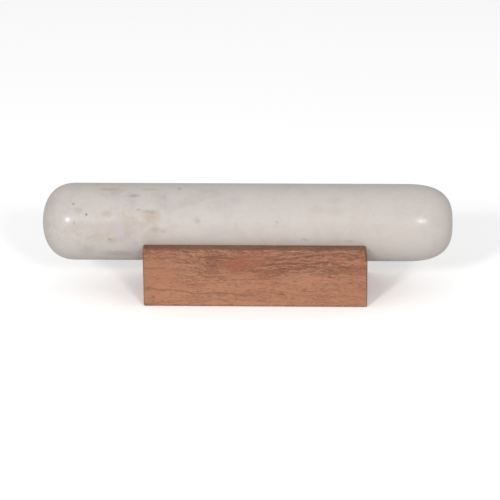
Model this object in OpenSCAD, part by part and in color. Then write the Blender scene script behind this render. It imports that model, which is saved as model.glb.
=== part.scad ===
// Marble rolling pin without handles, resting in the groove of a wooden cradle.
// Millimetres, +Z up, +X along the roller. The origin is on the surface that the cradle stands on,
// under the middle of the roller's length.

/* [Roller] */
// Length of the roller over its rounded ends
roller_length = 305; // [220:5:420]
// Diameter of the roller's straight barrel
roller_diameter = 57.5; // [45:0.5:65]
// Length of the barrel that the left end's rounding takes up
left_round = 26; // [10:1:60]
// Length of the barrel that the right end's rounding takes up
right_round = 37; // [10:1:60]
// Squareness of the left rounding along the roller, where 2 is an ellipse
left_power_along = 2.5; // [2:0.1:4]
// Squareness of the left rounding across the roller, where 2 is an ellipse
left_power_across = 2.2; // [2:0.1:4]
// Squareness of the right rounding along the roller, where 2 is an ellipse
right_power_along = 2.8; // [2:0.1:4]
// Squareness of the right rounding across the roller, where 2 is an ellipse
right_power_across = 2.9; // [2:0.1:4]

/* [Cradle] */
// Length of the cradle along the roller
cradle_length = 165; // [100:5:240]
// Depth of the cradle from front to back
cradle_depth = 76; // [70:1:110]
// Height of the cradle's two lips
cradle_height = 45; // [35:1:70]
// Depth of the groove below the lips
groove_depth = 21; // [8:0.5:26]
// Radius of the sanded edges
edge_radius = 1.5; // [0.5:0.1:2.5]

/* [Placement] */
// How far the middle of the cradle lies to the right of the middle of the roller
cradle_shift = 7; // [-25:1:25]
// Gap between the roller and the groove
groove_gap = 0.3; // [0.1:0.1:1]

/* [Hidden] */
$fn = 96;
roller_radius = roller_diameter / 2;
groove_radius = roller_radius + groove_gap;
roller_axis_z = cradle_height - groove_depth + groove_radius;
round_steps = 24;

// One end's outline, from the tip on the axis out to the barrel: a quarter of a superellipse, in which
// (distance along / its length) ^ power_along + (radius / barrel radius) ^ power_across = 1.
function round_outline(length, power_along, power_across) = [
    for (i = [0:round_steps])
        let (turn = 90 * i / round_steps)
            [roller_radius * pow(sin(turn), 2 / power_across), length * pow(cos(turn), 2 / power_along)]
];

// The same outline for the other end, walked back from the barrel to the tip
function reversed(points) = [for (i = [len(points) - 1:-1:0]) points[i]];

module roller_outline() {
    half = roller_length / 2;
    right_end = round_outline(right_round, right_power_along, right_power_across);
    left_end = round_outline(left_round, left_power_along, left_power_across);
    polygon(concat(
        [for (p = right_end) [p[0], half - right_round + p[1]]],
        [for (p = reversed(left_end)) [p[0], -half + left_round - p[1]]]
    ));
}

// The roller is turned from one piece of marble
module marble_roller() {
    color([0.80, 0.78, 0.76])
        translate([0, 0, roller_axis_z])
            rotate([0, 90, 0])
                rotate_extrude()
                    roller_outline();
}

module rounded_rectangle(width, height) {
    square([width - 2 * edge_radius, height], center = true);
    square([width, height - 2 * edge_radius], center = true);
    for (x = [-1, 1], y = [-1, 1])
        translate([x * (width / 2 - edge_radius), y * (height / 2 - edge_radius)])
            circle(edge_radius);
}

// A block whose edges are rounded along all three directions
module sanded_block() {
    intersection() {
        linear_extrude(cradle_height, center = true)
            rounded_rectangle(cradle_length, cradle_depth);
        rotate([90, 0, 0])
            linear_extrude(cradle_depth, center = true)
                rounded_rectangle(cradle_length, cradle_height);
        rotate([90, 0, 90])
            linear_extrude(cradle_length, center = true)
                rounded_rectangle(cradle_depth, cradle_height);
    }
}

// The cradle is one block of wood with a round groove ploughed along its top
module wood_cradle() {
    color([0.67, 0.48, 0.38])
        translate([cradle_shift, 0, 0])
            difference() {
                translate([0, 0, cradle_height / 2])
                    sanded_block();
                translate([0, 0, roller_axis_z])
                    rotate([0, 90, 0])
                        cylinder(r = groove_radius, h = cradle_length + 2, center = true);
            }
}

marble_roller();
wood_cradle();
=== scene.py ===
import math

import bpy
import numpy as np
from mathutils import Matrix, Vector


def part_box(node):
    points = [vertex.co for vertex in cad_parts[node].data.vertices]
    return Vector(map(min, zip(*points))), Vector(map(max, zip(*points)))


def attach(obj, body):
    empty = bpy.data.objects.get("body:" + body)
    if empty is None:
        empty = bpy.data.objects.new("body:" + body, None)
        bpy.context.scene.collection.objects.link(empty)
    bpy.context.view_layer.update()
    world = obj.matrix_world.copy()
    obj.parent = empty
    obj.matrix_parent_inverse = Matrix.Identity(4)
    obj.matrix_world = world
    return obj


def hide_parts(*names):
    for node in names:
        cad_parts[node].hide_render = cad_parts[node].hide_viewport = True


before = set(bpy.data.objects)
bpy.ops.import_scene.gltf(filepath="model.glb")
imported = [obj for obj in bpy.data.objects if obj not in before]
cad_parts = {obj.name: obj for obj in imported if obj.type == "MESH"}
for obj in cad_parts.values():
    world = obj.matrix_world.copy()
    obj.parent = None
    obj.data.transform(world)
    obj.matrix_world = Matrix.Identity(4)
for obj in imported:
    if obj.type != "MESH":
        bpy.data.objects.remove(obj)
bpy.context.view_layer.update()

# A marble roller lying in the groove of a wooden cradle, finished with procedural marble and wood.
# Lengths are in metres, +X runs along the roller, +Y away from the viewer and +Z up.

bl_info = {
    "name": "Marble rolling pin",
    "version": (1, 0, 0),
    "blender": (4, 5, 0),
    "location": "View3D > Sidebar > Rolling Pin",
    "description": "Makes a marble roller and its wooden cradle, with their finishes and a white studio",
    "category": "Add Mesh",
}

ROLLER_LOW, ROLLER_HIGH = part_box("marble_roller")
CRADLE_LOW, CRADLE_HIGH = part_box("wood_cradle")
ROLLER_SIZE = ROLLER_HIGH - ROLLER_LOW
CRADLE_SIZE = CRADLE_HIGH - CRADLE_LOW
ROLLER_MIDDLE = (ROLLER_LOW + ROLLER_HIGH) / 2
MM = 0.001


# Properties

def colour_setting(name, description, default):
    """A colour that a user can change, as linear red, green and blue."""
    return bpy.props.FloatVectorProperty(
        name=name, description=description, default=default, subtype="COLOR", size=3, min=0.0, max=1.0)


class RollerSettings(bpy.types.PropertyGroup):
    """Sizes of the roller, whose length and diameter come from the frame"""

    length: bpy.props.FloatProperty(
        name="Length", description="Length of the roller over its rounded ends",
        default=ROLLER_SIZE.x, min=0.1, unit="LENGTH")
    diameter: bpy.props.FloatProperty(
        name="Diameter", description="Diameter of the straight barrel",
        default=ROLLER_SIZE.z, min=0.01, unit="LENGTH")
    left_round: bpy.props.FloatProperty(
        name="Left rounding", description="Length that the left end's rounding takes up",
        default=0.026, min=0.005, unit="LENGTH")
    right_round: bpy.props.FloatProperty(
        name="Right rounding", description="Length that the right end's rounding takes up",
        default=0.037, min=0.005, unit="LENGTH")
    left_power: bpy.props.FloatVectorProperty(
        name="Left squareness",
        description="Powers along and across the left rounding, where 2 is an ellipse",
        size=2, default=(2.5, 2.2), min=2.0, max=4.0)
    right_power: bpy.props.FloatVectorProperty(
        name="Right squareness",
        description="Powers along and across the right rounding, where 2 is an ellipse",
        size=2, default=(2.8, 2.9), min=2.0, max=4.0)


class CradleSettings(bpy.types.PropertyGroup):
    """Sizes of the cradle, whose outside comes from the frame"""

    groove_depth: bpy.props.FloatProperty(
        name="Groove depth", description="Depth of the groove below the lips",
        default=0.021, min=0.005, unit="LENGTH")
    groove_gap: bpy.props.FloatProperty(
        name="Groove gap", description="Gap between the roller and the groove",
        default=0.0003, min=0.0001, unit="LENGTH")
    corner_radius: bpy.props.FloatProperty(
        name="Long edges", description="Radius of the sanded edges that run along the cradle",
        default=0.0016, min=0.0005, unit="LENGTH")
    lip_radius: bpy.props.FloatProperty(
        name="Lip edges", description="Radius of the groove's two sanded edges",
        default=0.0014, min=0.0005, unit="LENGTH")
    end_radius: bpy.props.FloatProperty(
        name="End edges", description="Radius of the sanded edges round each end",
        default=0.0012, min=0.0003, unit="LENGTH")
    worn_corner: bpy.props.FloatProperty(
        name="Worn corner", description="How far the front right corner is sanded back at its top",
        default=0.0016, min=0.0, unit="LENGTH")


class MarbleSettings(bpy.types.PropertyGroup):
    """Colours and finish of the marble"""

    white: colour_setting("White", "Colour of the clean stone", (0.700, 0.640, 0.592))
    grey: colour_setting("Grey cloud", "Colour of the lilac grey clouds", (0.420, 0.385, 0.395))
    beige: colour_setting("Beige cloud", "Colour of the warm clouds", (0.560, 0.450, 0.350))
    pink: colour_setting("Pink cloud", "Colour of the faint pink clouds", (0.620, 0.530, 0.545))
    speck: colour_setting("Specks", "Colour of the small dark mineral specks", (0.160, 0.130, 0.125))
    roughness: bpy.props.FloatProperty(
        name="Roughness", description="Roughness of the honed surface",
        default=0.24, min=0.0, max=1.0, subtype="FACTOR")


class WoodSettings(bpy.types.PropertyGroup):
    """Colours and finish of the wood"""

    light: colour_setting("Light wood", "Colour of the early wood", (0.590, 0.285, 0.168))
    middle: colour_setting("Middle wood", "Colour of most of the wood", (0.400, 0.168, 0.098))
    # The dark wood is also the colour of the painted shade on the top faces and the rounded edges
    dark: colour_setting("Dark wood", "Colour of the late wood and the dark lines", (0.160, 0.075, 0.045))
    red: colour_setting("Red wood", "Colour of the reddish heartwood", (0.370, 0.125, 0.070))
    # Painted shade: the faces that look up are darkened towards the dark wood by up to this share
    painted_top_shade: bpy.props.FloatProperty(
        name="Dark top", description="How much darker the handled top faces are",
        default=0.55, min=0.0, max=1.0, subtype="FACTOR")
    roughness: bpy.props.FloatProperty(
        name="Roughness", description="Roughness of the oiled wood",
        default=0.55, min=0.0, max=1.0, subtype="FACTOR")


class StudioSettings(bpy.types.PropertyGroup):
    """Camera and light"""

    azimuth: bpy.props.FloatProperty(
        name="Azimuth", description="Camera's turn round the part, towards its right end",
        default=math.radians(2.73), subtype="ANGLE")
    elevation: bpy.props.FloatProperty(
        name="Elevation", description="Camera's height above level",
        default=math.radians(20.0), subtype="ANGLE")
    roll: bpy.props.FloatProperty(
        name="Roll", description="Turn of the camera about its line of sight",
        default=math.radians(-0.65), subtype="ANGLE")
    distance: bpy.props.FloatProperty(
        name="Distance", description="Distance from the camera to the point that it looks at",
        default=2.0, min=0.5, unit="LENGTH")
    aim: bpy.props.FloatVectorProperty(
        name="Aim", description="Point that the camera looks at",
        size=3, unit="LENGTH", default=(0.0018, 0.0, 0.0308))
    lens: bpy.props.FloatProperty(
        name="Lens", description="Focal length in millimetres on a 36 mm sensor",
        default=192.6, min=20.0)
    lamp_power: bpy.props.FloatVectorProperty(
        name="Lamp power", description="Power of the left and right lamps in watts",
        size=2, min=0.0, default=(25.0, 18.5))
    sky: bpy.props.FloatProperty(
        name="Sky", description="Strength of the even light from all round",
        default=0.50, min=0.0)


class RollingPinSettings(bpy.types.PropertyGroup):
    """All the settings of the part"""

    roller: bpy.props.PointerProperty(type=RollerSettings)
    cradle: bpy.props.PointerProperty(type=CradleSettings)
    marble: bpy.props.PointerProperty(type=MarbleSettings)
    wood: bpy.props.PointerProperty(type=WoodSettings)
    studio: bpy.props.PointerProperty(type=StudioSettings)


# Mesh helpers

def smooth_step(low, high, value):
    """0 below low, 1 above high, and 3 t^2 - 2 t^3 between them, where t is the share of the way."""
    share = np.clip((value - low) / (high - low), 0.0, 1.0)
    return share * share * (3.0 - 2.0 * share)


def grid_faces(index, closed):
    """Quads between neighbouring rows and columns of a grid of vertex numbers. Closed rows join their last
    column to their first."""
    beside = np.roll(index, -1, axis=1) if closed else index[:, 1:]
    here = index if closed else index[:, :-1]
    return np.stack([here[:-1], beside[:-1], beside[1:], here[1:]], axis=-1).reshape(-1, 4)


def add_mesh(name, points, quads, triangles=None):
    """Puts points and faces into a smooth mesh object at the origin."""
    mesh = bpy.data.meshes.new(name)
    corners = np.asarray(quads).ravel()
    starts = np.arange(len(quads)) * 4
    if triangles is not None:
        starts = np.concatenate([starts, len(corners) + np.arange(len(triangles)) * 3])
        corners = np.concatenate([corners, np.asarray(triangles).ravel()])
    mesh.vertices.add(len(points))
    mesh.vertices.foreach_set("co", np.asarray(points, np.float32).ravel())
    mesh.loops.add(len(corners))
    mesh.loops.foreach_set("vertex_index", corners.astype(np.int32))
    mesh.polygons.add(len(starts))
    mesh.polygons.foreach_set("loop_start", starts.astype(np.int32))
    mesh.polygons.foreach_set("use_smooth", np.ones(len(starts), bool))
    mesh.update(calc_edges=True)
    if mesh.validate():
        raise RuntimeError(f"{name} has faces that Blender had to mend")
    piece = bpy.data.objects.new(name, mesh)
    bpy.context.scene.collection.objects.link(piece)
    return piece


def add_attribute(piece, name, values):
    """Stores one number for each vertex under a name that a material can read."""
    attribute = piece.data.attributes.new(name, "FLOAT", "POINT")
    attribute.data.foreach_set("value", np.asarray(values, np.float32).ravel())


# The roller's surface

ROUND_STEPS = 72
BARREL_STEPS = 60
TURN_STEPS = 256


def round_outline(length, radius, powers):
    """A quarter of a superellipse from the tip to the barrel: (distance / length) ^ first power plus
    (height / radius) ^ second power is 1. Returns the distances past the barrel and the heights."""
    turn = np.linspace(0.0, math.pi / 2, ROUND_STEPS + 1)
    along = length * np.abs(np.cos(turn)) ** (2.0 / powers[0])
    height = radius * np.sin(turn) ** (2.0 / powers[1])
    along[-1] = 0.0
    return along, height


def roller_outline(roller):
    """Positions along X and heights above the axis, from the left tip to the right tip."""
    half, radius = roller.length / 2, roller.diameter / 2
    left_along, left_height = round_outline(roller.left_round, radius, roller.left_power)
    right_along, right_height = round_outline(roller.right_round, radius, roller.right_power)
    left_x = -half + roller.left_round - left_along
    right_x = half - roller.right_round + right_along
    barrel_x = np.linspace(left_x[-1], right_x[-1], BARREL_STEPS + 2)[1:-1]
    x = np.concatenate([left_x, barrel_x, right_x[::-1]])
    height = np.concatenate([left_height, np.full(BARREL_STEPS, radius), right_height[::-1]])
    return x, height


def roller_mesh(roller):
    """The outline turned round the roller's axis: a point is (x, height cos turn, height sin turn) about
    it. Each tip is one point, joined to its ring by triangles."""
    x, height = roller_outline(roller)
    turn = np.linspace(0.0, 2 * math.pi, TURN_STEPS, endpoint=False)
    rings = np.stack(np.broadcast_arrays(
        x[1:-1, None],
        ROLLER_MIDDLE.y + height[1:-1, None] * np.cos(turn),
        ROLLER_MIDDLE.z + height[1:-1, None] * np.sin(turn)), axis=-1)
    rows = rings.shape[0]
    tips = np.array([[x[0], ROLLER_MIDDLE.y, ROLLER_MIDDLE.z], [x[-1], ROLLER_MIDDLE.y, ROLLER_MIDDLE.z]])
    index = np.arange(rows * TURN_STEPS).reshape(rows, TURN_STEPS)
    left_tip, right_tip = rows * TURN_STEPS, rows * TURN_STEPS + 1
    first, last = index[0], index[-1]
    triangles = np.concatenate([
        np.stack([np.full(TURN_STEPS, left_tip), np.roll(first, -1), first], axis=-1),
        np.stack([np.full(TURN_STEPS, right_tip), last, np.roll(last, -1)], axis=-1)])
    points = np.concatenate([rings.reshape(-1, 3), tips])
    return add_mesh("marble_roller_finished", points, grid_faces(index, closed=True), triangles)


# The cradle's surface

CORNER_STEPS = 8
LAND_POINTS = 4
LIP_POINTS = 11
GROOVE_STEPS = 72
SIDE_STEPS = 22
LENGTH_STEPS = 110
# From a rounding to the first row of the flat beside it, and from a long edge to a side's even rows
SUPPORT = 0.25 * MM
SIDE_START = 1.5 * MM
# The worn corner starts and is full this far below the top
WORN_BELOW = (11 * MM, 1 * MM)
# It starts this far in from the right end
WORN_IN = 9 * MM
# It starts and is full this far out from the middle towards the front
WORN_OUT = (18 * MM, 34 * MM)


def cradle_columns(cradle):
    """The top of the cradle's cross section from front to back, as places across, heights, the directions
    in which it faces and how rounded it is. It runs over the front edge's quarter circle, the level land,
    the lip's arc and the groove's arc, and over the same again behind."""
    half = CRADLE_SIZE.y / 2
    top = CRADLE_HIGH.z
    corner, lip = cradle.corner_radius, cradle.lip_radius
    groove = ROLLER_SIZE.z / 2 + cradle.groove_gap
    axis_z = top - cradle.groove_depth + groove
    lip_centre_z = top - lip
    lip_centre_y = math.sqrt((groove + lip) ** 2 - (axis_z - lip_centre_z) ** 2)
    lip_turn = math.atan2(axis_z - lip_centre_z, lip_centre_y)

    turn = np.linspace(0.0, math.pi / 2, CORNER_STEPS + 1)
    corner_y = half - corner + corner * np.cos(turn)
    corner_z = top - corner + corner * np.sin(turn)
    corner_face = np.stack([np.cos(turn), np.sin(turn)])
    land_y = np.linspace(half - corner - SUPPORT, lip_centre_y + SUPPORT, LAND_POINTS)
    land_z = np.full(LAND_POINTS, top)
    land_face = np.tile([[0.0], [1.0]], LAND_POINTS)
    turn = np.linspace(math.pi / 2, math.pi - lip_turn, LIP_POINTS)
    lip_y = lip_centre_y + lip * np.cos(turn)
    lip_z = lip_centre_z + lip * np.sin(turn)
    lip_face = np.stack([np.cos(turn), np.sin(turn)])
    turn = np.linspace(lip_turn, math.pi / 2, GROOVE_STEPS // 2 + 1)[1:]
    groove_y = groove * np.cos(turn)
    groove_z = axis_z - groove * np.sin(turn)
    groove_face = np.stack([-np.cos(turn), np.sin(turn)])
    groove_y[-1] = 0.0

    across = np.concatenate([corner_y, land_y, lip_y, groove_y])
    height = np.concatenate([corner_z, land_z, lip_z, groove_z])
    facing = np.concatenate([corner_face, land_face, lip_face, groove_face], axis=1)
    corner_round = np.sin(2 * np.linspace(0, math.pi / 2, CORNER_STEPS + 1))
    lip_round = np.sin(np.linspace(0, math.pi, LIP_POINTS))
    rounded = np.concatenate([corner_round, np.zeros(LAND_POINTS), lip_round, np.zeros(GROOVE_STEPS // 2)])
    mirrored = slice(-2, None, -1)
    y = np.concatenate([-across, across[mirrored]])
    z_top = np.concatenate([height, height[mirrored]])
    top_face = np.concatenate([facing * [[-1.0], [1.0]], facing[:, mirrored]], axis=1)
    rounded = np.concatenate([rounded, rounded[mirrored]])
    return y, z_top, top_face, rounded


def cradle_loop(cradle):
    """The closed cross section as one loop of points, with the way each faces, how rounded it is there,
    and how many points its bottom and its top have. The bottom repeats the top's places across, and is
    level but for the quarter circles of its two long edges."""
    y, z_top, top_face, top_round = cradle_columns(cradle)
    corner = cradle.corner_radius
    count = len(y)
    out = np.abs(y) - (CRADLE_SIZE.y / 2 - corner)
    on_corner = out > 0
    sine = np.clip(out / corner, 0.0, 1.0)
    drop = np.where(on_corner, corner - corner * np.sqrt(1 - sine ** 2), 0.0)
    bottom_face = np.stack([np.sign(y) * sine, -np.sqrt(1 - sine ** 2)])
    bottom_round = np.where(on_corner, 2 * sine * np.sqrt(1 - sine ** 2), 0.0)
    z_bottom = CRADLE_LOW.z + drop
    z_bottom[0] = z_bottom[-1] = CRADLE_LOW.z + corner
    z_top[0] = z_top[-1] = CRADLE_HIGH.z - corner
    low, high = z_bottom[0], z_top[0]
    even_z = np.linspace(low + SIDE_START, high - SIDE_START, SIDE_STEPS - 2)
    side_z = np.concatenate([[low + SUPPORT], even_z, [high - SUPPORT]])
    half = CRADLE_SIZE.y / 2
    side = np.ones(SIDE_STEPS)
    loop_y = np.concatenate([y, half * side, y[::-1], -half * side])
    loop_z = np.concatenate([z_bottom, side_z, z_top[::-1], side_z[::-1]])
    face_y = np.concatenate([bottom_face[0], side, top_face[0][::-1], -side])
    face_z = np.concatenate([bottom_face[1], 0 * side, top_face[1][::-1], 0 * side])
    rounded = np.concatenate([bottom_round, 0 * side, top_round[::-1], 0 * side])
    return np.stack([loop_y, loop_z]), np.stack([face_y, face_z]), rounded, count


def cradle_stations(cradle):
    """Places along the cradle, with how far the cross section is drawn in there and how rounded it is. At
    each end they follow a quarter circle: radius (1 - sin turn) from the end, the section is drawn in by
    radius (1 - cos turn)."""
    radius = cradle.end_radius
    turn = np.linspace(0.0, math.pi / 2, CORNER_STEPS + 1)
    end_x = CRADLE_LOW.x + radius * (1 - np.sin(turn))
    end_in = radius * (1 - np.cos(turn))
    x_low, x_high = CRADLE_LOW.x + radius, CRADLE_HIGH.x - radius
    middle = np.linspace(x_low, x_high, LENGTH_STEPS)[1:-1]
    middle = np.concatenate([[x_low + SUPPORT], middle, [x_high - SUPPORT]])
    flip = CRADLE_LOW.x + CRADLE_HIGH.x
    x = np.concatenate([end_x[::-1], middle, flip - end_x])
    drawn_in = np.concatenate([end_in[::-1], np.zeros(len(middle)), end_in])
    rounded = np.concatenate([np.sin(2 * turn)[::-1], np.zeros(len(middle)), np.sin(2 * turn)])
    return x, drawn_in, rounded


def worn(points, cradle):
    """The front right corner, sanded back: x falls by the worn distance times three smooth steps, which grow
    towards the top, the front and the right end."""
    x, y, z = points[..., 0], points[..., 1], points[..., 2]
    start, full = WORN_BELOW
    up = smooth_step(CRADLE_HIGH.z - start, CRADLE_HIGH.z - full, z)
    front = smooth_step(*WORN_OUT, -y)
    end = smooth_step(CRADLE_HIGH.x - WORN_IN, CRADLE_HIGH.x, x)
    points[..., 0] -= cradle.worn_corner * up * front * end
    return points


def end_cap(ring, index, count, first_new):
    """Closes one end with upright columns: a new point is low (1 - share) + high share, between the
    bottom and the top of its column. Returns the new points and the grid of vertex numbers,
    which is framed by the ring's own."""
    right, top, left = count, count + SIDE_STEPS, 2 * count + SIDE_STEPS
    share = np.linspace(0.0, 1.0, SIDE_STEPS + 2)[1:-1, None, None]
    low, high = ring[:right], ring[top:left][::-1]
    inner = low[1:-1] * (1 - share) + high[1:-1] * share
    inner_index = first_new + np.arange(SIDE_STEPS * (count - 2)).reshape(SIDE_STEPS, count - 2)
    middle = np.concatenate([index[left:][::-1, None], inner_index, index[right:top, None]], axis=1)
    cap = np.concatenate([index[None, :right], middle, index[None, top:left][:, ::-1]])
    return inner.reshape(-1, 3), cap


def cradle_mesh(cradle):
    """The cross section carried along X, drawn in at both ends by its facing times the distance there,
    and closed by a cap at each end."""
    loop, face, section_round, count = cradle_loop(cradle)
    x, drawn_in, station_round = cradle_stations(cradle)
    section = loop[:, None, :] - face[:, None, :] * drawn_in[None, :, None]
    skin = np.stack(np.broadcast_arrays(x[:, None], section[0], section[1]), axis=-1)
    stations, around = skin.shape[:2]
    index = np.arange(stations * around).reshape(stations, around)
    points = [skin.reshape(-1, 3)]
    quads = [grid_faces(index, closed=True)]
    roundness = [np.maximum(station_round[:, None], section_round[None, :]).ravel()]
    total = index.size
    for station, order in ((0, -1), (-1, 1)):
        inner, cap = end_cap(skin[station], index[station], count, total)
        total += len(inner)
        points.append(inner)
        quads.append(grid_faces(cap, closed=False)[:, ::order])
        roundness.append(np.zeros(len(inner)))
    piece = add_mesh("wood_cradle_finished", worn(np.concatenate(points), cradle), np.concatenate(quads))
    # Stores how rounded each point is, which the wood uses for painted shade on the rounded edges
    add_attribute(piece, "painted_edge_shade", np.concatenate(roundness))
    return piece


# Shader helper

class Shader:
    """Adds nodes to a material's tree. Any input may be another node's output or a plain value."""

    def __init__(self, name):
        self.material = bpy.data.materials.new(name)
        self.material.use_nodes = True
        self.tree = self.material.node_tree
        self.tree.nodes.clear()
        self.output = self.node("ShaderNodeOutputMaterial")

    def node(self, kind, **settings):
        """A new node with those settings."""
        made = self.tree.nodes.new(kind)
        for key, value in settings.items():
            setattr(made, key, value)
        return made

    def put(self, socket, value):
        """Links another node's output to an input, or gives the input a plain value."""
        if isinstance(value, bpy.types.NodeSocket):
            self.tree.links.new(value, socket)
        elif socket.type == "RGBA" and len(value) == 3:
            socket.default_value = (*value, 1.0)
        else:
            socket.default_value = value

    def math(self, operation, first, second=0.0, third=0.0):
        made = self.node("ShaderNodeMath", operation=operation)
        for socket, value in zip(made.inputs, (first, second, third)):
            self.put(socket, value)
        return made.outputs[0]

    def vector(self, operation, first, second=(0.0, 0.0, 0.0)):
        made = self.node("ShaderNodeVectorMath", operation=operation)
        self.put(made.inputs[0], first)
        self.put(made.inputs[1], second)
        return made.outputs["Value" if operation == "LENGTH" else "Vector"]

    def scaled(self, vector, scale):
        return self.vector("MULTIPLY", vector, scale)

    def noise(self, vector, scale, detail=4.0, roughness=0.5, output="Fac"):
        made = self.node("ShaderNodeTexNoise", noise_dimensions="3D")
        for key, value in (("Vector", vector), ("Scale", scale), ("Detail", detail),
                           ("Roughness", roughness)):
            self.put(made.inputs[key], value)
        return made.outputs[output]

    def stretched(self, vector, cycles, detail, roughness):
        """Noise with different cycles per metre along X, Y and Z."""
        return self.noise(self.scaled(vector, cycles), 1.0, detail, roughness)

    def moved(self, vector, place, scale, detail, reach):
        """The vector, moved by the noise at that place: (noise - one half) times the reach along X, Y and
        Z."""
        centred = self.vector("SUBTRACT", self.noise(place, scale, detail, output="Color"), (0.5, 0.5, 0.5))
        return self.vector("ADD", vector, self.scaled(centred, reach))

    def steps(self, value, low, high, to_low=0.0, to_high=1.0, smooth=True):
        """Changes from one share at low to another at high, and stays level outside them."""
        made = self.node("ShaderNodeMapRange", interpolation_type="SMOOTHSTEP" if smooth else "LINEAR")
        for socket, number in zip(made.inputs, (value, low, high, to_low, to_high)):
            self.put(socket, number)
        return made.outputs["Result"]

    def spot(self, place, middle, scale, edge, strength):
        """A soft spot: the distance from the middle, times the scale, fades from the edge's first number,
        where nothing shows, to its second, where it has its full strength."""
        away = self.scaled(self.vector("SUBTRACT", place, middle), scale)
        return self.steps(self.vector("LENGTH", away), *edge, 0.0, strength)

    def mix(self, share, first, second):
        made = self.node("ShaderNodeMix", data_type="RGBA", clamp_factor=True)
        for socket, value in zip((made.inputs[0], made.inputs[6], made.inputs[7]), (share, first, second)):
            self.put(socket, value)
        return made.outputs[2]

    def separate(self, vector):
        made = self.node("ShaderNodeSeparateXYZ")
        self.put(made.inputs[0], vector)
        return made.outputs

    def combine(self, x, y, z):
        made = self.node("ShaderNodeCombineXYZ")
        for socket, value in zip(made.inputs, (x, y, z)):
            self.put(socket, value)
        return made.outputs[0]

    def bump(self, height, strength, distance):
        made = self.node("ShaderNodeBump")
        for key, value in (("Height", height), ("Strength", strength), ("Distance", distance)):
            self.put(made.inputs[key], value)
        return made.outputs[0]

    def coordinates(self, output="Object"):
        return self.node("ShaderNodeTexCoord").outputs[output]

    def finish(self, **inputs):
        """Ends the material in one Principled shader."""
        shader = self.node("ShaderNodeBsdfPrincipled")
        for key, value in inputs.items():
            self.put(shader.inputs[key.replace("_", " ")], value)
        self.tree.links.new(shader.outputs[0], self.output.inputs[0])
        return self.material


# Marble

# Names that end in RANGE, here and for the wood, hold what Shader.steps reads after the value: where the
# change starts and ends, and the share at its start and its end

# Clouds: which settings colour, shift of the pattern, cycles per metre, and where the noise starts to
# show, is full, and with which strength
MARBLE_CLOUDS = (
    ("grey", 0.0, 34.0, 0.50, 0.80, 0.50),
    ("beige", 3.1, 40.0, 0.52, 0.74, 0.60),
    ("pink", 7.3, 30.0, 0.50, 0.74, 0.70),
)
CLOUD_DETAIL = 6.0
CLOUD_ROUGHNESS = 0.62
# Cycles per metre, detail, and reach in metres of the noise that bends the clouds and frays the marks
CLOUD_BENDS = (60.0, 4.0, (0.020, 0.020, 0.020))
MARK_FRAYS = (420.0, 3.0, (0.0045, 0.0045, 0.0045))
# The clouds are fainter from just right of the middle on, and full towards the left end
QUIET_RANGE = (0.02, -0.07, 0.45, 1.0)
VEIN_SHIFT = (1.3, 4.4, 2.2)
# Cycles per metre, detail and roughness
VEIN_NOISE = (26.0, 5.0, 0.55)
CRYSTAL_NOISE = (700.0, 3.0, 0.7)
HONED_NOISE = (1400.0, 2.0, 0.5)
VEIN_RANGE = (0.030, 0.0, 0.0, 0.12)
CRYSTAL_RANGE = (0.38, 0.70, 0.0, 0.16)
# Between which crystals the shine changes, and the change in roughness at each
SHINE_RANGE = (0.3, 0.7)
SHINE_CHANGE = (-0.04, 0.06)
HONED_STRENGTH = 0.05
HONED_HEIGHT = 0.0002
MARBLE_SPECULAR = 0.35
# Shares of a mark's half sizes at which it begins to show and has its full strength
MARBLE_MARK_EDGE = (1.15, 0.15)
# Marks: millimetres along the roller, degrees above level on the front side, half length and half
# height in millimetres, which settings colour, and strength
MARBLE_MARKS = (
    (-127.5, 46, 1.9, 1.4, "speck", 0.55), (-117.5, 29, 1.6, 1.5, "speck", 0.75),
    (-126.5, 16, 1.2, 1.9, "speck", 0.30), (-100.5, -8, 1.4, 1.2, "speck", 0.50),
    (-78.5, 37, 2.0, 1.0, "speck", 0.50), (-49.5, 77, 1.6, 2.2, "speck", 0.35),
    (-82.5, 61, 6.0, 2.4, "grey", 0.75), (23, 19, 1.4, 1.1, "speck", 0.30),
    (10, -1, 1.1, 0.9, "speck", 0.25), (44, -7, 5.0, 1.4, "speck", 0.22),
    (76, -10, 5.0, 1.4, "speck", 0.22), (-69.5, 25, 9.5, 6.5, "beige", 0.77),
    (-70.5, 34, 8.0, 1.8, "speck", 0.28), (-66.5, 8, 4.5, 3.0, "beige", 0.81),
    (-60.5, 5, 3.0, 2.4, "beige", 0.63), (-123.5, 36, 4.0, 3.0, "beige", 0.54),
    (-102.5, 30, 5.0, 3.6, "beige", 0.50), (-98.5, -10, 5.0, 3.5, "beige", 0.63),
    (52, 38, 8.0, 4.5, "beige", 0.25), (66, 36, 8.0, 4.5, "beige", 0.25),
    (65, 53, 8.0, 4.5, "beige", 0.25), (-35.5, 22, 3.0, 3.0, "grey", 0.50),
    (-8.5, 52, 6.0, 4.0, "pink", 0.60), (-100.5, 75, 12.0, 2.6, "beige", 0.72),
    (-71.5, 75, 8.0, 2.2, "beige", 0.63), (-94.5, -36, 18.0, 5.0, "grey", 0.54),
    (-117.5, -27, 8.0, 6.0, "grey", 0.30),
)


def on_roller(along, turn):
    """The point of the barrel's surface at that many millimetres along and degrees above level."""
    radius, turn = ROLLER_SIZE.z / 2, math.radians(turn)
    y = ROLLER_MIDDLE.y - radius * math.cos(turn)
    z = ROLLER_MIDDLE.z + radius * math.sin(turn)
    return along * MM, y, z


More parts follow.
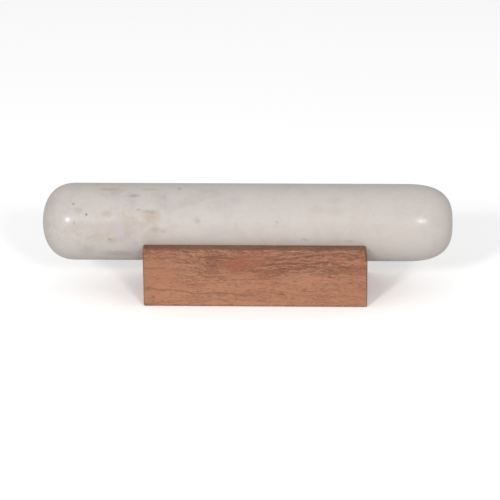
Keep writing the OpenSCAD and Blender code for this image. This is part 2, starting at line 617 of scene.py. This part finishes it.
def marble_clouds(shader, marble, place):
    """Clean stone under soft grey, beige and pink clouds and faint veins."""
    warped = shader.moved(place, place, *CLOUD_BENDS)
    here = shader.steps(shader.separate(place)[0], *QUIET_RANGE)
    colour = marble.white
    for name, shift, scale, low, high, strength in MARBLE_CLOUDS:
        shifted = shader.vector("ADD", warped, (shift, shift / 2, shift / 3))
        cloud = shader.noise(shifted, scale, CLOUD_DETAIL, CLOUD_ROUGHNESS)
        share = shader.math("MULTIPLY", shader.steps(cloud, low, high, 0.0, strength), here)
        colour = shader.mix(share, colour, getattr(marble, name))
    vein = shader.noise(shader.vector("ADD", warped, VEIN_SHIFT), *VEIN_NOISE)
    ridge = shader.math("ABSOLUTE", shader.math("SUBTRACT", vein, 0.5))
    share = shader.math("MULTIPLY", shader.steps(ridge, *VEIN_RANGE), here)
    return shader.mix(share, colour, marble.grey)


def marble_marks(shader, marble, place, colour):
    """The listed marks, each a soft spot with a frayed edge."""
    frayed = shader.moved(place, place, *MARK_FRAYS)
    for along, turn, half_length, half_height, name, strength in MARBLE_MARKS:
        scale = (1 / (half_length * MM), 1 / (half_height * MM), 1 / (half_height * MM))
        share = shader.spot(frayed, on_roller(along, turn), scale, MARBLE_MARK_EDGE, strength)
        colour = shader.mix(share, colour, getattr(marble, name))
    return colour


def marble_material(marble):
    """Clouded and marked stone with fine grey crystals, which also change how it shines."""
    shader = Shader("honed_marble")
    place = shader.coordinates()
    colour = marble_marks(shader, marble, place, marble_clouds(shader, marble, place))
    crystals = shader.noise(place, *CRYSTAL_NOISE)
    colour = shader.mix(shader.steps(crystals, *CRYSTAL_RANGE), colour, marble.grey)
    roughness = shader.steps(crystals, *SHINE_RANGE, *(marble.roughness + change for change in SHINE_CHANGE))
    normal = shader.bump(shader.noise(place, *HONED_NOISE), HONED_STRENGTH, HONED_HEIGHT)
    return shader.finish(
        Base_Color=colour, Roughness=roughness, Normal=normal, Specular_IOR_Level=MARBLE_SPECULAR)


# Wood

# Cycles per metre along, across and up, detail and roughness
BAND_NOISE = ((5.0, 90.0, 150.0), 4.0, 0.6)
STREAK_NOISE = ((60.0, 520.0, 620.0), 4.0, 0.65)
FIBRE_NOISE = ((230.0, 1300.0, 1500.0), 5.0, 0.72)
BLOTCH_NOISE = ((22.0, 40.0, 60.0), 3.0, 0.5)
PORE_NOISE = ((240.0, 2400.0, 2400.0), 2.0, 0.5)
# How much each counts in the grain
BAND_SHARE = 0.22
FIBRE_SHARE = 0.46
STREAK_SHARE = 0.32
# Slow waves and small curls of the grain: cycles per metre along, across and up, detail, and reach in metres
WAVES = ((14.0, 34.0, 34.0), 3.0, (0.0, 0.016, 0.014))
CURLS = ((130.0, 90.0, 160.0), 2.0, (0.0, 0.0026, 0.0026))
# Cycles per metre, detail, and reach in metres of the noise that frays the listed areas
AREA_FRAYS = (300.0, 3.0, (0.010, 0.0, 0.005))
GRAIN_RANGE = (0.43, 0.56)
EVEN_SHARE = 0.30
BLOTCH_RANGE = (0.48, 0.72, 0.0, 0.5)
FRONT_RANGE = (-0.012, -0.032)
AREA_FIBRE_RANGE = (0.42, 0.58, 0.0, 0.7)
FOOT_RANGE = (0.034, 0.010, 0.0, 0.35)
PORE_RANGE = (0.58, 0.68, 0.0, 0.65)
END_GRAIN_RANGE = (0.5, 0.95, 0.0, 0.45)
# Where the painted shade on the faces that look up starts and is full, by how far up they face
TOP_SHADE_RANGE = (0.55, 0.95)
# Cycles per metre and detail of the patches of painted shade on the rounded edges
EDGE_SHADE_NOISE = (260.0, 3.0)
EDGE_SHADE_RANGE = (0.35, 0.65, 0.10, 0.45)
# Between which fibres the shine changes, and the change in roughness at each
OIL_RANGE = (0.3, 0.7)
OIL_CHANGE = (0.08, -0.06)
PORE_DEPTH = 0.8
FIBRE_STRENGTH = 0.30
FIBRE_HEIGHT = 0.0004
WOOD_SPECULAR = 0.3
# Shares of an area's half sizes at which it begins to show and has its full strength
WOOD_AREA_EDGE = (1.2, 0.35)
# Areas on the front face: millimetres along and up, half length and half height, which settings
# colour, and strength
WOOD_AREAS = (
    (-63, 22, 20.0, 18.0, "light", 0.45), (-52, 10, 16.0, 7.0, "light", 0.55),
    (-25, 33, 6.0, 10.0, "dark", 0.65), (-21, 42, 4.5, 4.0, "dark", 0.60),
    (-6, 36, 12.0, 8.5, "red", 0.95), (9, 38, 15.0, 8.0, "red", 0.60),
    (-3, 24, 15.0, 4.0, "light", 0.50), (0, 9, 20.0, 6.0, "red", 0.35),
    (45, 38, 34.0, 5.0, "dark", 0.25), (68, 27.5, 8.0, 3.0, "dark", 0.45),
    (42, 20, 17.0, 6.0, "light", 0.65), (54, 16, 6.0, 3.0, "middle", 0.50),
    (75, 36, 2.2, 1.5, "dark", 0.95), (78.5, 35.7, 2.0, 1.4, "dark", 0.90),
    (86, 34, 1.6, 7.0, "red", 0.80), (78, 10, 12.0, 9.0, "red", 0.30),
    # The last area darkens the front's top at its left end
    (-73, 46, 3.5, 3.0, "dark", 0.60),
)
# Thin dark grain lines on the front face, in millimetres: where each starts and ends along, its heights
# there, how far it bows up in the middle, and its half width, then its strength
WOOD_LINES = (
    (-75.5, -54.0, 12.6, 13.0, 0.0, 0.45, 0.75), (-54.0, 7.0, 13.0, 8.0, -0.6, 0.50, 0.75),
    (-75.5, -58.0, 27.7, 28.0, 0.3, 0.40, 0.55), (12.0, 62.0, 33.4, 33.2, 0.3, 0.60, 0.65),
    (62.0, 76.0, 33.2, 28.0, 1.0, 0.60, 0.60), (7.0, 62.0, 10.4, 10.6, -0.4, 0.45, 0.50),
    (62.0, 88.0, 10.6, 7.6, 0.3, 0.45, 0.45), (-20.0, 25.0, 19.5, 21.0, 0.8, 0.35, 0.35),
    (-45.0, -5.0, 38.5, 40.0, 0.6, 0.35, 0.35), (20.0, 80.0, 38.0, 40.5, -0.8, 0.35, 0.35),
    (-70.0, 10.0, 5.0, 4.0, 0.5, 0.35, 0.30), (15.0, 85.0, 4.2, 3.2, 0.4, 0.35, 0.30),
)
# A line's fade, as shares of its half width, and how many millimetres before and after its start it fades in
LINE_EDGE = (2, 0.2)
LINE_BEFORE = 1
LINE_AFTER = 2


def wood_grain(shader, wood, bent, curly, fibres):
    """Light and dark wood, mixed by slow bands, streaks and fibres, and evened a little, with redder
    blotches."""
    bands = shader.stretched(bent, *BAND_NOISE)
    streaks = shader.stretched(curly, *STREAK_NOISE)
    grain = shader.math("ADD", shader.math("MULTIPLY", bands, BAND_SHARE),
                        shader.math("MULTIPLY", fibres, FIBRE_SHARE))
    grain = shader.math("ADD", grain, shader.math("MULTIPLY", streaks, STREAK_SHARE))
    colour = shader.mix(shader.steps(grain, *GRAIN_RANGE), wood.dark, wood.light)
    colour = shader.mix(EVEN_SHARE, colour, wood.middle)
    blotches = shader.stretched(bent, *BLOTCH_NOISE)
    return shader.mix(shader.steps(blotches, *BLOTCH_RANGE), colour, wood.red)


def wood_areas(shader, wood, frayed, fibres, front, colour):
    """The listed areas, each a soft spot on the front face through which the fibres show."""
    along, _, up = shader.separate(frayed)
    flat = shader.combine(along, 0.0, up)
    fibre_share = shader.steps(fibres, *AREA_FIBRE_RANGE)
    for area_along, area_up, half_length, half_height, name, strength in WOOD_AREAS:
        scale = (1 / (half_length * MM), 0.0, 1 / (half_height * MM))
        area = shader.spot(flat, (area_along * MM, 0.0, area_up * MM), scale, WOOD_AREA_EDGE, strength)
        tone = shader.mix(fibre_share, getattr(wood, name), wood.middle)
        colour = shader.mix(shader.math("MULTIPLY", area, front), colour, tone)
    return colour


def wood_lines(shader, wood, curly, front, colour):
    """The thin dark lines: each has the height start + (end - start) way + rise sin(pi way), where way is the
    share of its length."""
    along, _, up = shader.separate(curly)
    for start, end, start_up, end_up, rise, half_width, strength in WOOD_LINES:
        way = shader.steps(along, start * MM, end * MM, smooth=False)
        wave = shader.math("SINE", shader.math("MULTIPLY", way, math.pi))
        straight = shader.math("MULTIPLY_ADD", way, (end_up - start_up) * MM, start_up * MM)
        level = shader.math("ADD", straight, shader.math("MULTIPLY", wave, rise * MM))
        off = shader.math("ABSOLUTE", shader.math("SUBTRACT", up, level))
        line = shader.steps(off, *(share * half_width * MM for share in LINE_EDGE), 0.0, strength)
        for place, inwards in ((start, 1), (end, -1)):
            outer, inner = place - inwards * LINE_BEFORE, place + inwards * LINE_AFTER
            line = shader.math("MULTIPLY", line, shader.steps(along, outer * MM, inner * MM))
        colour = shader.mix(shader.math("MULTIPLY", line, front), colour, wood.dark)
    return colour


def wood_faces(shader, wood, place, colour):
    """Darkens the end grain, and paints shade on the top faces and in patches on the rounded edges."""
    facing = shader.separate(shader.coordinates("Normal"))
    end_grain = shader.steps(shader.math("ABSOLUTE", facing[0]), *END_GRAIN_RANGE)
    colour = shader.mix(end_grain, colour, wood.dark)
    # Painted shade on the faces that look up
    colour = shader.mix(shader.steps(facing[2], *TOP_SHADE_RANGE, 0.0, wood.painted_top_shade), colour, wood.dark)
    # Painted shade in patches on the rounded edges
    edge_shade_share = shader.node("ShaderNodeAttribute", attribute_name="painted_edge_shade").outputs["Fac"]
    patches = shader.steps(shader.noise(place, *EDGE_SHADE_NOISE), *EDGE_SHADE_RANGE)
    return shader.mix(shader.math("MULTIPLY", edge_shade_share, patches), colour, wood.dark)


def wood_material(wood):
    """Curly grain with areas and lines on the front, a paler foot, open pores, darker end grain, and
    painted shade on the top faces and in patches on the rounded edges."""
    shader = Shader("oiled_wood")
    place = shader.coordinates()
    cycles, detail, reach = WAVES
    bent = shader.moved(place, shader.scaled(place, cycles), 1.0, detail, reach)
    cycles, detail, reach = CURLS
    curly = shader.moved(bent, shader.scaled(place, cycles), 1.0, detail, reach)
    frayed = shader.moved(curly, curly, *AREA_FRAYS)
    _, across, up = shader.separate(frayed)
    front = shader.steps(across, *FRONT_RANGE)
    fibres = shader.stretched(curly, *FIBRE_NOISE)
    colour = wood_grain(shader, wood, bent, curly, fibres)
    colour = wood_areas(shader, wood, frayed, fibres, front, colour)
    colour = wood_lines(shader, wood, curly, front, colour)
    colour = shader.mix(shader.steps(up, *FOOT_RANGE), colour, wood.light)
    pores = shader.steps(shader.stretched(curly, *PORE_NOISE), *PORE_RANGE)
    colour = shader.mix(pores, colour, wood.dark)
    colour = wood_faces(shader, wood, place, colour)
    height = shader.math("SUBTRACT", fibres, shader.math("MULTIPLY", pores, PORE_DEPTH))
    normal = shader.bump(height, FIBRE_STRENGTH, FIBRE_HEIGHT)
    roughness = shader.steps(fibres, *OIL_RANGE, *(wood.roughness + change for change in OIL_CHANGE))
    return shader.finish(
        Base_Color=colour, Roughness=roughness, Normal=normal, Specular_IOR_Level=WOOD_SPECULAR)


# Studio

def look_at(eye, target, roll):
    """The place and turn of a camera or lamp: it looks from eye to target, and is then rolled about that
    line."""
    turn = (Vector(target) - Vector(eye)).to_track_quat("-Z", "Y").to_matrix().to_4x4()
    return Matrix.Translation(eye) @ turn @ Matrix.Rotation(roll, 4, "Z")


def direction(azimuth, elevation):
    """Unit vector from the part towards a point at that azimuth, which grows to the right, and elevation."""
    return Vector((math.sin(azimuth) * math.cos(elevation), -math.cos(azimuth) * math.cos(elevation),
                   math.sin(elevation)))


SENSOR_WIDTH = 36.0
CAMERA_REACH = 30.0


def add_camera(studio):
    """The camera, at its distance from the aim point in the direction of its azimuth and elevation."""
    data = bpy.data.cameras.new("photo_camera")
    data.lens = studio.lens
    data.sensor_width = SENSOR_WIDTH
    data.clip_end = CAMERA_REACH
    camera = bpy.data.objects.new("photo_camera", data)
    aim = Vector(studio.aim)
    eye = aim + studio.distance * direction(studio.azimuth, studio.elevation)
    camera.matrix_world = look_at(eye, aim, studio.roll)
    bpy.context.scene.collection.objects.link(camera)
    bpy.context.scene.camera = camera


LAMP_DISTANCE = 3.0
LAMP_SIZE = 0.48
LAMP_AZIMUTHS = (math.radians(-22.0), math.radians(20.0))
LAMP_ELEVATION = math.radians(23.0)


def add_lamps(studio):
    """Two small round lamps, one on each side of the camera and a little above it."""
    for name, azimuth, power in zip(("left_lamp", "right_lamp"), LAMP_AZIMUTHS, studio.lamp_power):
        data = bpy.data.lights.new(name, "AREA")
        data.shape = "DISK"
        data.size = LAMP_SIZE
        data.energy = power
        lamp = bpy.data.objects.new(name, data)
        eye = ROLLER_MIDDLE + LAMP_DISTANCE * direction(azimuth, LAMP_ELEVATION)
        lamp.matrix_world = look_at(eye, ROLLER_MIDDLE, 0.0)
        bpy.context.scene.collection.objects.link(lamp)


WHITE = (1.0, 1.0, 1.0, 1.0)
SKY_SEEN = 1.0


def add_world(studio):
    """Even light from all round, which the camera sees as plain white."""
    world = bpy.data.worlds.new("white_studio")
    world.use_nodes = True
    tree = world.node_tree
    tree.nodes.clear()
    path = tree.nodes.new("ShaderNodeLightPath")
    mix = tree.nodes.new("ShaderNodeMixShader")
    tree.links.new(path.outputs["Is Camera Ray"], mix.inputs[0])
    for socket, strength in ((mix.inputs[1], studio.sky), (mix.inputs[2], SKY_SEEN)):
        sky = tree.nodes.new("ShaderNodeBackground")
        sky.inputs["Color"].default_value = WHITE
        sky.inputs["Strength"].default_value = strength
        tree.links.new(sky.outputs[0], socket)
    output = tree.nodes.new("ShaderNodeOutputWorld")
    tree.links.new(mix.outputs[0], output.inputs[0])
    bpy.context.scene.world = world


FLOOR_HALF = 4.0
FLOOR_WHITE = 0.80
FLOOR_SEEN = 1.56


def floor_material():
    """White paper that the camera sees brighter than it lights the part, so that only shadows fall below
    white."""
    shader = Shader("white_paper")
    seen = shader.node("ShaderNodeLightPath").outputs["Is Camera Ray"]
    paper = shader.math("MULTIPLY_ADD", seen, FLOOR_SEEN - FLOOR_WHITE, FLOOR_WHITE)
    diffuse = shader.node("ShaderNodeBsdfDiffuse")
    shader.put(diffuse.inputs["Color"], shader.combine(paper, paper, paper))
    shader.put(shader.output.inputs[0], diffuse.outputs[0])
    return shader.material


def add_floor():
    """A level square under the part."""
    half = FLOOR_HALF
    points = np.array([[-half, -half, 0], [half, -half, 0], [half, half, 0], [-half, half, 0]])
    floor = add_mesh("paper_floor", points, np.array([[0, 1, 2, 3]]))
    floor.data.materials.append(floor_material())


# Operators

class ROLLINGPIN_OT_marble_roller(bpy.types.Operator):
    """Makes the turned marble roller in the place of its plain solid"""

    bl_idname = "rolling_pin.marble_roller"
    bl_label = "Marble roller"

    def execute(self, context):
        settings = context.scene.rolling_pin
        piece = roller_mesh(settings.roller)
        piece.data.materials.append(marble_material(settings.marble))
        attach(piece, "roller")
        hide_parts("marble_roller")
        return {"FINISHED"}


class ROLLINGPIN_OT_wood_cradle(bpy.types.Operator):
    """Makes the grooved wooden cradle in the place of its plain solid"""

    bl_idname = "rolling_pin.wood_cradle"
    bl_label = "Wooden cradle"

    def execute(self, context):
        settings = context.scene.rolling_pin
        piece = cradle_mesh(settings.cradle)
        piece.data.materials.append(wood_material(settings.wood))
        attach(piece, "cradle")
        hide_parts("wood_cradle")
        return {"FINISHED"}


class ROLLINGPIN_OT_stage(bpy.types.Operator):
    """Makes the camera, the lamps, the white surroundings and the floor"""

    bl_idname = "rolling_pin.stage"
    bl_label = "White studio"

    def execute(self, context):
        studio = context.scene.rolling_pin.studio
        add_camera(studio)
        add_lamps(studio)
        add_world(studio)
        add_floor()
        context.scene.view_settings.view_transform = "Standard"
        return {"FINISHED"}


class ROLLINGPIN_PT_panel(bpy.types.Panel):
    """Lists the rolling pin's operators and settings"""

    bl_idname = "ROLLINGPIN_PT_panel"
    bl_label = "Rolling Pin"
    bl_space_type = "VIEW_3D"
    bl_region_type = "UI"
    bl_category = "Rolling Pin"

    def draw(self, context):
        layout = self.layout
        settings = context.scene.rolling_pin
        for group, operator in (("roller", "marble_roller"), ("marble", None), ("cradle", "wood_cradle"),
                                ("wood", None), ("studio", "stage")):
            box = layout.box()
            values = getattr(settings, group)
            for name in values.bl_rna.properties.keys():
                if name not in ("name", "rna_type"):
                    box.prop(values, name)
            if operator:
                box.operator(f"rolling_pin.{operator}")


CLASSES = (RollerSettings, CradleSettings, MarbleSettings, WoodSettings, StudioSettings, RollingPinSettings,
           ROLLINGPIN_OT_marble_roller, ROLLINGPIN_OT_wood_cradle, ROLLINGPIN_OT_stage, ROLLINGPIN_PT_panel)


def register():
    for cls in CLASSES:
        bpy.utils.register_class(cls)
    bpy.types.Scene.rolling_pin = bpy.props.PointerProperty(type=RollingPinSettings)


def unregister():
    del bpy.types.Scene.rolling_pin
    for cls in reversed(CLASSES):
        bpy.utils.unregister_class(cls)


def main():
    register()
    bpy.ops.rolling_pin.stage()
    bpy.ops.rolling_pin.marble_roller()
    bpy.ops.rolling_pin.wood_cradle()


if __name__ == "__main__":
    main()
